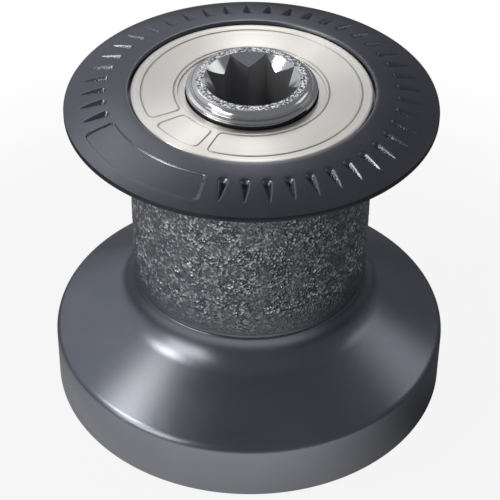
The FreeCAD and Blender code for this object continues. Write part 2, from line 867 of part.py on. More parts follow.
def build_spindle():
    """Handle spindle: star socket, pawl carrier, bearing journals and clip grooves."""
    body = new_body("spindle")
    head = S["head_radius"]
    shoulder = S["head_shoulder"]
    ease = S["shoulder_ease"]
    top = S["head_height"]
    flat = S["socket_flat_half"]
    drill_floor = top - S["drill_depth"]
    groove_bottom = spring_ring_bottom - S["rolling"]
    groove_top = spring_ring_top + S["rolling"]
    clip_top = S["underside_depth"] - S["bottom_washer_thickness"] - S["side_play"]
    clip_groove = (clip_top - S["circlip_thickness"] - S["side_play"], clip_top)
    journal_foot = stem_top - S["upper_bush_length"] + S["journal_rise"]
    shaft = S["shaft_radius"]
    shaft_shoulder = top - S["shaft_shoulder_drop"]
    step = S["shaft_step_radius"]
    corners = [
        (Size.of(0.0), S["spindle_bottom"]),
        (shaft - S["shaft_chamfer"], S["spindle_bottom"]),
        (shaft, S["spindle_bottom"] + S["shaft_chamfer"]),
        (shaft, clip_groove[0]),
        (shaft - S["circlip_groove"], clip_groove[0]),
        (shaft - S["circlip_groove"], clip_groove[1]),
        (shaft, clip_groove[1]),
        (shaft, shaft_shoulder),
        (step, shaft_shoulder + step - shaft),
        (step, journal_foot - S["journal_lead"]),
        (S["spindle_radius"], journal_foot),
        (S["spindle_radius"], carrier_bottom),
        (S["carrier_radius"], carrier_bottom),
        (S["carrier_radius"], carrier_top),
        (head, carrier_top),
        (head, groove_bottom),
        (head - S["groove_depth"], groove_bottom),
        (head - S["groove_depth"], groove_top),
        (head, groove_top),
        (head, top - shoulder),
        (head - shoulder * ease, top - shoulder * ease),
        (head - shoulder, top),
        (S["socket_mouth"], top),
        (flat, top - S["socket_mouth"] + flat),
        (flat, drill_floor),
        (Size.of(0.0), drill_floor - flat * S["drill_point_slope"]),
    ]
    turned(body, "Turning", corners)
    sketch = new_sketch(body, "SquareOutline", "XY_Plane", lift=top)
    corner_radius = flat * root(Size.of(2.0))
    square = [polar(corner_radius, S["socket_phase"] + quarter) for quarter in (0.0, 90.0, 180.0, 270.0)]
    closed_outline(sketch, square)
    broached = cut_down(body, "Square", sketch, S["socket_depth"])
    repeat_round(body, "Star", [broached], Size.of(2), Size.of(45.0))
    depth = carrier_top - drive_ring_bottom + 2 * S["side_play"]
    pawl_pockets(body, drive, carrier_top, depth, S["carrier_radius"] + BEYOND, S["drive_pawl_count"])


def build_clips():
    """Split ring and wear washer that hold the drum down, clip and washer under the stem."""
    opening = S["ring_opening"]
    washer("retaining_ring", S["head_radius"] - S["groove_depth"] + S["side_play"], S["ring_outer"],
           spring_ring_bottom, S["ring_height"], 360.0 - opening, S["ring_opening_angle"] + opening / 2.0)
    play = S["side_play"]
    bottom = crown_floor + play
    washer("wear_washer", S["head_radius"] + 2 * play, S["washer_outer"], bottom,
           spring_ring_bottom - bottom - S["rolling"])
    washer_bottom = S["underside_depth"] - S["bottom_washer_thickness"]
    washer("spindle_washer", S["shaft_radius"] + 3 * play, S["bottom_washer_radius"],
           washer_bottom - play / 2.0, S["bottom_washer_thickness"])
    clip_top = washer_bottom - play
    washer("spindle_circlip", S["shaft_radius"] - S["circlip_groove"] + play, S["circlip_radius"],
           clip_top - S["circlip_thickness"] - S["rolling"], S["circlip_thickness"],
           360.0 - S["circlip_opening"], S["circlip_opening"] / 2.0)


# Roller bearings

def build_rollers(word, bottom):
    """One caged set of rollers between the stem and the drum's bore."""
    cage = new_body(word + "_roller_cage")
    corners = [
        (S["cage_inner"], bottom),
        (S["cage_outer"], bottom),
        (S["cage_outer"], bottom + S["cage_length"]),
        (S["cage_inner"], bottom + S["cage_length"]),
    ]
    turned(cage, "Sleeve", corners)
    play = S["side_play"]
    half_width = S["roller_radius"] + play
    ends = (S["cage_length"] - S["roller_length"]) * 0.5
    roller_bottom = bottom + ends
    roller_top = roller_bottom + S["roller_length"]
    sketch = new_sketch(cage, "WindowOutline", "YZ_Plane")
    closed_outline(sketch, [
        (-half_width, roller_bottom - play),
        (half_width, roller_bottom - play),
        (half_width, roller_top + play),
        (-half_width, roller_top + play),
    ])
    window = cut_down(cage, "Window", sketch, S["cage_outer"] + BEYOND)
    window.Reversed = True
    repeat_round(cage, "Windows", [window], S["roller_count"])
    rollers = new_body(word + "_rollers")
    radius = S["roller_radius"]
    outline = [
        (roller_circle, roller_bottom),
        (roller_circle + radius, roller_bottom),
        (roller_circle + radius, roller_top),
        (roller_circle, roller_top),
    ]
    first = turned_on_own_axis(rollers, "Roller", outline, (outline[0], outline[-1]))
    repeat_round(rollers, "Rollers", [first], S["roller_count"])


def build_pawls():
    """Three holding pawls on the hub and two drive pawls on the spindle, each with its spring."""
    holding_bottom = S["holding_ring_bottom"] + S["holding_pawl_rise"]
    holding_height = ring_seat - S["root_play"] - holding_bottom
    for i in range(SIZES["holding_pawl_count"]):
        turn = 360.0 * i / SIZES["holding_pawl_count"]
        pawl(f"holding_pawl_{i + 1}", holding, holding_bottom, holding_height, turn)
        pawl_spring(f"holding_pawl_spring_{i + 1}", holding, holding_bottom, turn)
    drive_bottom = drive_ring_bottom + S["side_play"]
    drive_height = carrier_top - S["root_play"] - drive_bottom
    for i in range(SIZES["drive_pawl_count"]):
        turn = 360.0 * i / SIZES["drive_pawl_count"]
        pawl(f"drive_pawl_{i + 1}", drive, drive_bottom, drive_height, turn)
        pawl_spring(f"drive_pawl_spring_{i + 1}", drive, drive_bottom, turn)


# Checks and export

CUTS = ("PartDesign::Pocket", "PartDesign::Groove")
ADDS = ("PartDesign::Pad", "PartDesign::Revolution")


def check_document():
    """Stop if any object failed, any cut or addition did nothing, or any piece is unsound."""
    for item in doc.Objects:
        if "Invalid" in item.State or "Error" in item.State:
            raise RuntimeError(f"{item.Name} failed: {item.State}")
        if item.TypeId in CUTS and item.BaseFeature.Shape.Volume - item.Shape.Volume < 1e-3:
            raise RuntimeError(f"{item.Name} cuts nothing")
        if item.TypeId in ADDS and item.Shape.Volume < 1e-3:
            raise RuntimeError(f"{item.Name} adds nothing")
    for piece in PARTS:
        shape = piece.Shape
        if shape.isNull() or not shape.isValid() or not shape.Solids:
            raise RuntimeError(f"{piece.Label} has no sound shape")


def write_parts():
    os.makedirs("parts", exist_ok=True)
    for piece in PARTS:
        piece.Shape.exportStep(f"parts/{piece.Label}.step")
        box = piece.Shape.optimalBoundingBox()
        print(f"{piece.Label}: {len(piece.Shape.Solids)} solid(s), {piece.Shape.Volume:.1f} mm3, "
              f"z {box.ZMin:.2f} to {box.ZMax:.2f}, radius {max(box.XMax, box.YMax):.2f}")


build_stem()
build_bushes()
build_fixed_rings()
build_drum()
build_ratchet_rings()
build_crown()
build_plate()
build_rollers("lower", lower_cage_bottom)
build_rollers("upper", upper_cage_bottom)
build_spindle()
build_clips()
build_pawls()
doc.recompute()
check_document()
write_parts()
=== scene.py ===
import json
import logging
import math
from dataclasses import dataclass
from enum import Enum
from typing import Any, ClassVar, Mapping, Sequence

import bpy
import numpy as np
from mathutils import Matrix, Vector


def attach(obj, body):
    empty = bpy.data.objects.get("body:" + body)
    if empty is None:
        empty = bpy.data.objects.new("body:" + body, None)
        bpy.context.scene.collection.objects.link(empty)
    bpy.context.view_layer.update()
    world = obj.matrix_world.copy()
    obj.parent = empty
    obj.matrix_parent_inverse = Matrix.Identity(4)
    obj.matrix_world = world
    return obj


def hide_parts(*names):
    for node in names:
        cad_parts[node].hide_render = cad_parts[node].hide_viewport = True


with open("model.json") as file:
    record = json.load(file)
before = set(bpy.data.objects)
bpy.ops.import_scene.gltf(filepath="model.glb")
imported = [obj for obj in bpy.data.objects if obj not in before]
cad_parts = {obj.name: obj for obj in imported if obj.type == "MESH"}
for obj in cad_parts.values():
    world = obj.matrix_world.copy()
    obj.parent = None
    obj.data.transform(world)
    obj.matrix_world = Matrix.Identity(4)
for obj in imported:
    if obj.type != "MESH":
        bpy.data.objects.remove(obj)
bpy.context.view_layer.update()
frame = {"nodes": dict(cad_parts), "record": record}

# A small sailing winch: a dark anodised drum with a rough grip band, a notched crown, a bright
# circular brushed dress plate and a polished spindle with a star socket. Sizes are in millimetres
# and degrees, and turn into metres and radians where a mesh or a place is made.

MM = 0.001
QUARTER_TURN = 0.25
NOISE_SPAN = (0.3, 0.7)  # the noise node seldom leaves this span
WHITE = (1.0, 1.0, 1.0, 1.0)
LOG = logging.getLogger("winch")
Socket = bpy.types.NodeSocket
Tree = bpy.types.NodeTree
Links = dict[str, Socket]
Array = np.ndarray


class Body(Enum):
    """The moving bodies that the dressed pieces ride on."""

    DRUM = "drum"
    SPINDLE = "spindle"


# Colour and nodes


def linear(hex_code: str) -> tuple[float, float, float, float]:
    """Turn an sRGB hex colour into linear light.

    Args:
        hex_code: a hash and six hex digits.

    Returns:
        Red, green, blue and an alpha of 1. Each channel follows the sRGB curve: a straight
        foot below 0.04045, and above it the power 2.4 of the value shifted by 0.055.
    """
    srgb = np.array([int(hex_code[i : i + 2], 16) for i in (1, 3, 5)]) / 255.0
    light = np.where(srgb <= 0.04045, srgb / 12.92, ((srgb + 0.055) / 1.055) ** 2.4)
    return (*light.tolist(), 1.0)


def join(tree: Tree, node: bpy.types.Node, links: Mapping | Sequence) -> None:
    """Give a node's inputs their links or plain values, by name or in the inputs' order."""
    pairs = links.items() if isinstance(links, Mapping) else enumerate(links)
    for socket, source in pairs:
        if isinstance(source, Socket):
            tree.links.new(source, node.inputs[socket])
        else:
            node.inputs[socket].default_value = source


def add(tree: Tree, kind: str, links: Mapping | Sequence = (), **settings: Any) -> bpy.types.Node:
    """Add one node.

    Args:
        tree: the node tree to add to.
        kind: the end of its type's name, such as TexNoise.
        links: an output socket or a plain value for each input, as join takes them.
        **settings: the node's own properties, such as operation.

    Returns:
        The new node.
    """
    node = tree.nodes.new("ShaderNode" + kind)
    for name, value in settings.items():
        setattr(node, name, value)
    join(tree, node, links)
    return node


def noise(tree: Tree, place: Socket, width_mm: float, detail: float = 2.0) -> Socket:
    """Noise of 0 to 1 whose patches are about this wide."""
    links = {"Vector": place, "Scale": 1.0 / (width_mm * MM), "Detail": detail}
    return add(tree, "TexNoise", links).outputs["Fac"]


def spread(tree: Tree, value: Socket, low: float, high: float, start: float = 0.0,
           end: float = 1.0, way: str = "LINEAR") -> Socket:
    """A value carried from low and high to start and end, and held there beyond them."""
    node = add(tree, "MapRange", [value, low, high, start, end], interpolation_type=way)
    return node.outputs[0]


def reckon(tree: Tree, operation: str, first: Socket, second: Socket) -> Socket:
    """The result of one operation on two values."""
    return add(tree, "Math", [first, second], operation=operation).outputs[0]


def blend(tree: Tree, share: Socket, plain: Any, other: Any, kind: str = "RGBA") -> Socket:
    """A mix of two colours or values: plain where the share is 0, other where it is 1."""
    links = {"Factor": share, "A": plain, "B": other}
    return add(tree, "Mix", links, data_type=kind).outputs["Result"]


def ring_place(tree: Tree, place: Socket) -> Socket:
    """(radius, 0, height) of a point: the same all round the axis."""
    split = add(tree, "SeparateXYZ", [place]).outputs
    flat = add(tree, "CombineXYZ", [split["X"], split["Y"]]).outputs
    radius = add(tree, "VectorMath", [flat[0]], operation="LENGTH").outputs
    return add(tree, "CombineXYZ", [radius["Value"], 0.0, split["Z"]]).outputs[0]


def tilt(tree: Tree, height: Socket, depth_mm: float, over: Socket | None = None,
         strength: Socket | float = 0.5) -> Socket:
    """The surface's direction, tilted by a relief of this depth on top of an earlier one."""
    links = {"Height": height, "Distance": depth_mm * MM, "Strength": strength}
    if over is not None:
        links["Normal"] = over
    return add(tree, "Bump", links).outputs["Normal"]


# Surfaces


def grid_quads(rows: int, columns: int, close_rows: bool = True,
               close_columns: bool = True) -> Array:
    """Corner numbers of the quads of a grid, wound so that they face along columns x rows.

    Args:
        rows: how many rows of points.
        columns: how many points in a row.
        close_rows: join the last row to the first.
        close_columns: join the last column to the first.

    Returns:
        An array of four point numbers to each quad.
    """
    i = np.arange(rows if close_rows else rows - 1)[:, None]
    j = np.arange(columns if close_columns else columns - 1)[None, :]
    after_i, after_j = (i + 1) % rows, (j + 1) % columns
    corners = (i * columns + j, i * columns + after_j,
               after_i * columns + after_j, after_i * columns + j)
    return np.stack([c + 0 * (i + j) for c in corners], axis=-1).reshape(-1, 4)


def mesh_object(name: str, points: Array, quads: Array, triangles: Array | None = None,
                sharp_above: float = 32.0) -> bpy.types.Object:
    """Make a smooth mesh object from points in millimetres.

    Args:
        name: the object's name.
        points: one row of x, y, z per point.
        quads: four point numbers per face.
        triangles: three point numbers per face, where there are any.
        sharp_above: edges that turn by more degrees than this stay sharp.

    Returns:
        The object, at the origin, linked to the scene.
    """
    threes = np.zeros((0, 3), int) if triangles is None else triangles
    corners = np.concatenate([quads.ravel(), threes.ravel()]).astype(np.int32)
    starts = np.concatenate([np.arange(len(quads)) * 4,
                             quads.size + np.arange(len(threes)) * 3])
    mesh = bpy.data.meshes.new(name)
    mesh.vertices.add(len(points))
    mesh.vertices.foreach_set("co", (points * MM).astype(np.float32).ravel())
    mesh.loops.add(len(corners))
    mesh.loops.foreach_set("vertex_index", corners)
    mesh.polygons.add(len(starts))
    mesh.polygons.foreach_set("loop_start", starts.astype(np.int32))
    mesh.polygons.foreach_set("use_smooth", np.ones(len(starts), dtype=bool))
    mesh.update(calc_edges=True)
    mesh.validate()
    mesh.set_sharp_from_angle(angle=math.radians(sharp_above))
    obj = bpy.data.objects.new(name, mesh)
    bpy.context.scene.collection.objects.link(obj)
    return obj


def arc(centre: Sequence[float], radius: float, start: float, end: float, steps: int) -> Array:
    """Points of a circular arc in the (radius, height) half plane.

    Args:
        centre: the arc's centre.
        radius: its radius.
        start: angle of the first point, in degrees from the outward direction.
        end: angle of the last point.
        steps: how many spans.

    Returns:
        The points: centre plus radius times (cosine, sine) of an evenly growing angle.
    """
    angle = np.radians(np.linspace(start, end, steps + 1))
    return np.stack([centre[0] + radius * np.cos(angle),
                     centre[1] + radius * np.sin(angle)], axis=1)


def finer(profile: Array, spacing: float, low: float, high: float) -> Array:
    """Add points to the stretch of an outline between two heights.

    Args:
        profile: points of (radius, height).
        spacing: the widest step allowed there.
        low: lower height of the stretch.
        high: upper height of the stretch.

    Returns:
        The outline with each span inside the stretch cut into equal steps.
    """
    hair = 1e-6
    pieces = []
    for start, end in zip(profile[:-1], profile[1:]):
        inside = min(start[1], end[1]) >= low - hair and max(start[1], end[1]) <= high + hair
        steps = max(1, math.ceil(np.hypot(*(end - start)) / spacing)) if inside else 1
        share = np.arange(steps)[:, None] / steps
        pieces.append(start + share * (end - start))
    return np.concatenate([*pieces, profile[-1:]])


def around(radius: Array, angle: Array, height: Array) -> Array:
    """Points at x = radius cos(angle), y = radius sin(angle), z = height, one per grid place."""
    x = radius * np.cos(angle)
    y = radius * np.sin(angle)
    return np.stack([x, y, height + 0 * x], axis=-1).reshape(-1, 3)


def smooth_step(value: Array, low: float, high: float) -> Array:
    """0 below low, 1 above high, and 3t^2 - 2t^3 of the share t between them."""
    t = np.clip((value - low) / (high - low), 0.0, 1.0)
    return t * t * (3.0 - 2.0 * t)


def rounded_box_distance(across: Array, along: Array, half: tuple[float, float],
                         corner: float) -> Array:
    """Distance to the edge of a rectangle with rounded corners, negative inside.

    Args:
        across: first coordinate from the rectangle's middle.
        along: second coordinate from its middle.
        half: its half width and half height.
        corner: its corner radius.

    Returns:
        With side and end the two coordinates' sizes, less half and plus corner: the length of
        their positive parts, plus the larger one where both are negative, less the corner radius.
    """
    side = np.abs(across) - half[0] + corner
    end = np.abs(along) - half[1] + corner
    outside = np.hypot(np.maximum(side, 0), np.maximum(end, 0))
    return outside + np.minimum(np.maximum(side, end), 0) - corner


# Finishes


@dataclass(frozen=True)
class Finish:
    """A surface before its pattern.

    Attributes:
        name: the material and how its surface was made.
        colour: sRGB hex of its reflection, or of the plastic itself.
        roughness: blur of the reflection.
        stretch: how much longer highlights run across the turning marks than along them.
        metallic: 1 for a metal, 0 for a plastic.
        wander: how far its roughness changes from place to place.
    """

    name: str
    colour: str
    roughness: float
    stretch: float = 0.0
    metallic: float = 1.0
    wander: float = 0.04

    def make(self) -> bpy.types.Material:
        """The material: its uniform values, then what its pattern links.

        With a stretch, the tangent runs round the axis, as the tool marks do, and highlights
        run out across it.
        """
        material = bpy.data.materials.new(self.name)
        material.use_nodes = True
        tree = material.node_tree
        shader = tree.nodes["Principled BSDF"]
        join(tree, shader, {"Base Color": linear(self.colour), "Metallic": self.metallic,
                            "Roughness": self.roughness})
        if self.stretch:
            tangent = add(tree, "Tangent", direction_type="RADIAL", axis="Z")
            join(tree, shader, {"Anisotropic": self.stretch, "Anisotropic Rotation": QUARTER_TURN,
                                "Tangent": tangent.outputs["Tangent"]})
        join(tree, shader, self.pattern(tree, add(tree, "TexCoord").outputs["Object"]))
        return material

    def pattern(self, tree: Tree, place: Socket) -> Links:
        """What the finish links to its shader, from the point in the piece's own metres."""
        return {}

    def uneven(self, tree: Tree, pattern: Socket, by: float) -> Socket:
        """The roughness, lower or higher by this much where a pattern is low or high."""
        return spread(tree, pattern, *NOISE_SPAN, self.roughness - by, self.roughness + by)


@dataclass(frozen=True)
class TurnedAnodised(Finish):
    """Hard anodised aluminium, fine turned: a dark satin with faint rings and a soft cloudiness.

    Attributes:
        tints: sRGB hex of the darkest and the palest cloud.
        cloud_mm: size of the patches where the anodising took a little differently.
        mark_mm, mark_depth_mm: the tool marks; real ones of 0.1 mm would not show.
        grain_mm, grain_depth_mm: the fine etched grain that breaks up the highlights.
    """

    name: str = "aluminium_turned_hard_anodised"
    colour: str = "#7c7f86"
    roughness: float = 0.31
    stretch: float = 0.35
    wander: float = 0.03
    tints: tuple[str, str] = ("#7d818a", "#88898e")
    cloud_mm: float = 18.0
    mark_mm: float = 0.5
    mark_depth_mm: float = 0.008
    grain_mm: float = 0.6
    grain_depth_mm: float = 0.02

    def pattern(self, tree: Tree, place: Socket) -> Links:
        """Rings and grain tilt the surface, clouds tint it by a few percent."""
        cloud = noise(tree, place, self.cloud_mm, 3.0)
        rings = tilt(tree, noise(tree, ring_place(tree, place), self.mark_mm), self.mark_depth_mm)
        grain = noise(tree, place, self.grain_mm)
        return {
            "Base Color": blend(tree, spread(tree, cloud, *NOISE_SPAN), *map(linear, self.tints)),
            "Roughness": self.uneven(tree, cloud, self.wander),
            "Normal": tilt(tree, grain, self.grain_depth_mm, rings),
        }


@dataclass(frozen=True)
class ChoppedGrip(Finish):
    """Hard anodised aluminium, chopped and blasted for grip: dark, with scattered glinting facets.

    Attributes:
        tints: sRGB hex of the ground and of the brightest facets.
        facet_mm, facet_depth_mm: width and depth of a chopped facet.
        fleck_span: random value of a facet at which it starts to be bright and is brightest.
        grit_mm, grit_depth_mm: the blasted grit on it.
        patch_mm: size of the patches where the facets stand out more.
        patch_span: noise at which a facet starts to deepen and is deepest.
        shallow: share of their depth outside the patches.
        fade_mm: heights between which the facets rise to their full depth.
    """

    name: str = "aluminium_chopped_hard_anodised"
    colour: str = "#75767b"
    roughness: float = 0.32
    tints: tuple[str, str] = ("#7a7b80", "#fafafc")
    facet_mm: float = 0.7
    facet_depth_mm: float = 0.85
    fleck_span: tuple[float, float] = (0.5, 0.85)
    grit_mm: float = 0.4
    grit_depth_mm: float = 0.3
    patch_mm: float = 5.0
    patch_span: tuple[float, float] = (0.4, 0.62)
    shallow: float = 0.35
    fade_mm: tuple[float, float] = (38.0, 46.0)

    def pattern(self, tree: Tree, place: Socket) -> Links:
        """Facets and grit tilt the surface, each facet with a tone of its own."""
        scale = 1.0 / (self.facet_mm * MM)
        cells = add(tree, "TexVoronoi", {"Vector": place, "Scale": scale}).outputs
        height = add(tree, "SeparateXYZ", [place]).outputs["Z"]
        fade = spread(tree, height, self.fade_mm[0] * MM, self.fade_mm[1] * MM)
        patch = noise(tree, place, self.patch_mm)
        deep = spread(tree, patch, *self.patch_span, self.shallow, 1.0)
        share = reckon(tree, "MULTIPLY", deep, fade)
        facets = tilt(tree, cells["Distance"], self.facet_depth_mm, strength=share)
        grit = noise(tree, place, self.grit_mm)
        fleck = reckon(tree, "MULTIPLY", spread(tree, cells["Color"], *self.fleck_span), share)
        return {
            "Base Color": blend(tree, fleck, *map(linear, self.tints)),
            "Normal": tilt(tree, grit, self.grit_depth_mm, facets, 0.8),
        }


@dataclass(frozen=True)
class SatinAnodised(Finish):
    """Hard anodised aluminium, fine turned and etched: an even dark satin with a powdery grain.

    Attributes:
        cloud_mm: size of its faint patches.
        grain_mm, grain_depth_mm: the powdery grain.
        cut_mm, cut_depth_mm: the coarse grain that the cutter left in the notches.
    """

    name: str = "aluminium_etched_hard_anodised"
    colour: str = "#6e6f75"
    roughness: float = 0.3
    stretch: float = 0.15
    cloud_mm: float = 15.0
    grain_mm: float = 0.4
    grain_depth_mm: float = 0.04
    cut_mm: float = 0.5
    cut_depth_mm: float = 0.3

    def pattern(self, tree: Tree, place: Socket) -> Links:
        """Grain tilts the surface, coarser where cut, and patches change its blur."""
        powder = tilt(tree, noise(tree, place, self.grain_mm), self.grain_depth_mm)
        cut = add(tree, "Attribute", attribute_name="cut").outputs["Fac"]
        torn = noise(tree, place, self.cut_mm)
        return {
            "Roughness": self.uneven(tree, noise(tree, place, self.cloud_mm), self.wander),
            "Normal": tilt(tree, torn, self.cut_depth_mm, powder, cut),
        }


@dataclass(frozen=True)
class BrushedPlate(Finish):
    """Clear anodised aluminium, circular brushed: warm white, light fanning from the middle.

    Attributes:
        line_mm, line_depth_mm: the brush lines; real ones of 0.1 mm would not show.
        etched_colour, etched_roughness: the etched lines, dull from every side.
    """

    name: str = "aluminium_circular_brushed_clear_anodised"
    colour: str = "#ece8df"
    roughness: float = 0.35
    stretch: float = 0.93
    line_mm: float = 0.35
    line_depth_mm: float = 0.004
    etched_colour: str = "#dcd8ce"
    etched_roughness: float = 0.75

    def pattern(self, tree: Tree, place: Socket) -> Links:
        """Brush lines tilt the surface, and the etched lines are dull."""
        lines = noise(tree, ring_place(tree, place), self.line_mm, 3.0)
        etched = add(tree, "Attribute", attribute_name="etched").outputs["Fac"]
        rough = self.uneven(tree, lines, self.wander)
        return {
            "Base Color": blend(tree, etched, linear(self.colour), linear(self.etched_colour)),
            "Roughness": blend(tree, etched, rough, self.etched_roughness, "FLOAT"),
            "Normal": tilt(tree, lines, self.line_depth_mm, strength=0.4),
        }


@dataclass(frozen=True)
class PolishedHead(Finish):
    """Chromed bronze: polished on the shoulder, as blasted on the flat rim, scraped in the socket.

    Attributes:
        row_depth_mm: depth of the fine rings on the polished shoulder.
        rim_mm: inner and outer radius of the grainy rim.
        rim_fade_mm: width over which the grain ends beyond the rim.
        grain_mm, grain_depth_mm: its grain.
        pit_colour, pit_roughness: the grain's pits.
        socket_colour, socket_roughness: the socket's upright walls.
        scrape_mm, scrape_depth_mm: the upright marks that the broach left on them.
        scrape_squash: how the marks' height is squashed, which draws them out upright.
        steep_span: how far up the faces look where wall turns into slope.
    """

    name: str = "bronze_chromed_polished"
    colour: str = "#e4e4e2"
    roughness: float = 0.16
    stretch: float = 0.3
    row_depth_mm: float = 0.03
    rim_mm: tuple[float, float] = (12.4, 14.3)
    rim_fade_mm: float = 0.5
    grain_mm: float = 0.6
    grain_depth_mm: float = 0.2
    pit_roughness: float = 0.5
    pit_colour: str = "#77777a"
    socket_colour: str = "#d2d2d2"
    socket_roughness: float = 0.42
    scrape_mm: float = 0.7
    scrape_depth_mm: float = 0.08
    scrape_squash: float = 0.04
    steep_span: tuple[float, float] = (0.3, 0.5)

    def pattern(self, tree: Tree, place: Socket) -> Links:
        """Grain on the rim, upright scrapes inside, rings on the shoulder."""
        ring = ring_place(tree, place)
        radius = add(tree, "SeparateXYZ", [ring]).outputs["X"]
        inner, outer = self.rim_mm
        rim = spread(tree, radius, outer * MM, (outer + self.rim_fade_mm) * MM, 1.0, 0.0)
        mouth = spread(tree, radius, (inner - 0.02) * MM, inner * MM, 1.0, 0.0)
        facing = add(tree, "TexCoord").outputs["Normal"]
        upward = add(tree, "SeparateXYZ", [facing]).outputs["Z"]
        inside = reckon(tree, "MULTIPLY", mouth, spread(tree, upward, *self.steep_span, 1.0, 0.0))
        flat = reckon(tree, "SUBTRACT", rim, mouth)
        grain = noise(tree, place, self.grain_mm, 3.0)
        speck = spread(tree, grain, 0.42, 0.6, self.pit_roughness, self.roughness)
        rough = blend(tree, flat, self.roughness, speck, "FLOAT")
        pit = reckon(tree, "MULTIPLY", spread(tree, grain, 0.42, 0.56, 1.0, 0.0), flat)
        worn = blend(tree, pit, linear(self.colour), linear(self.pit_colour))
        rows = tilt(tree, noise(tree, ring, self.grain_mm), self.row_depth_mm)
        sand = tilt(tree, grain, self.grain_depth_mm, rows, flat)
        squash = (1.0, 1.0, self.scrape_squash)
        upright = add(tree, "VectorMath", [place, squash], operation="MULTIPLY").outputs[0]
        scrape = noise(tree, upright, self.scrape_mm, 3.0)
        return {
            "Base Color": blend(tree, inside, worn, linear(self.socket_colour)),
            "Roughness": blend(tree, inside, rough, self.socket_roughness, "FLOAT"),
            "Normal": tilt(tree, scrape, self.scrape_depth_mm, sand, inside),
        }


@dataclass(frozen=True)
class Grained(Finish):
    """A metal or plastic with one grain, for the split ring and the pieces inside.

    Attributes:
        grain_mm: width of its grain.
        depth_mm: height of its grain.
        wander_share: how far the grain changes the roughness, as a share of it.
    """

    grain_mm: float = 0.4
    depth_mm: float = 0.01
    wander_share: float = 0.15

    def pattern(self, tree: Tree, place: Socket) -> Links:
        """Grain that tilts the surface and breaks up its blur."""
        grain = noise(tree, place, self.grain_mm, 3.0)
        return {
            "Roughness": self.uneven(tree, grain, self.wander_share * self.roughness),
            "Normal": tilt(tree, grain, self.depth_mm),
        }


# Sub-assemblies


def seat(obj: bpy.types.Object, body: Body, node: str, slot: str, *finishes: Finish) -> None:
    """Give a piece its finishes and the body it rides on, and hide the CAD node it replaces."""
    for finish in finishes:
        obj.data.materials.append(finish.make())
    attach(obj, body.value)
    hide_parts(node)
    LOG.info("%s rides on %s, %d points", obj.name, body.value, len(obj.data.vertices))


def point_share(obj: bpy.types.Object, name: str, values: Array) -> None:
    """Keep a share of 0 to 1 at each point, under a name that a finish reads."""
    share = obj.data.attributes.new(name, "FLOAT", "POINT")
    share.data.foreach_set("value", values.astype(np.float32).ravel())


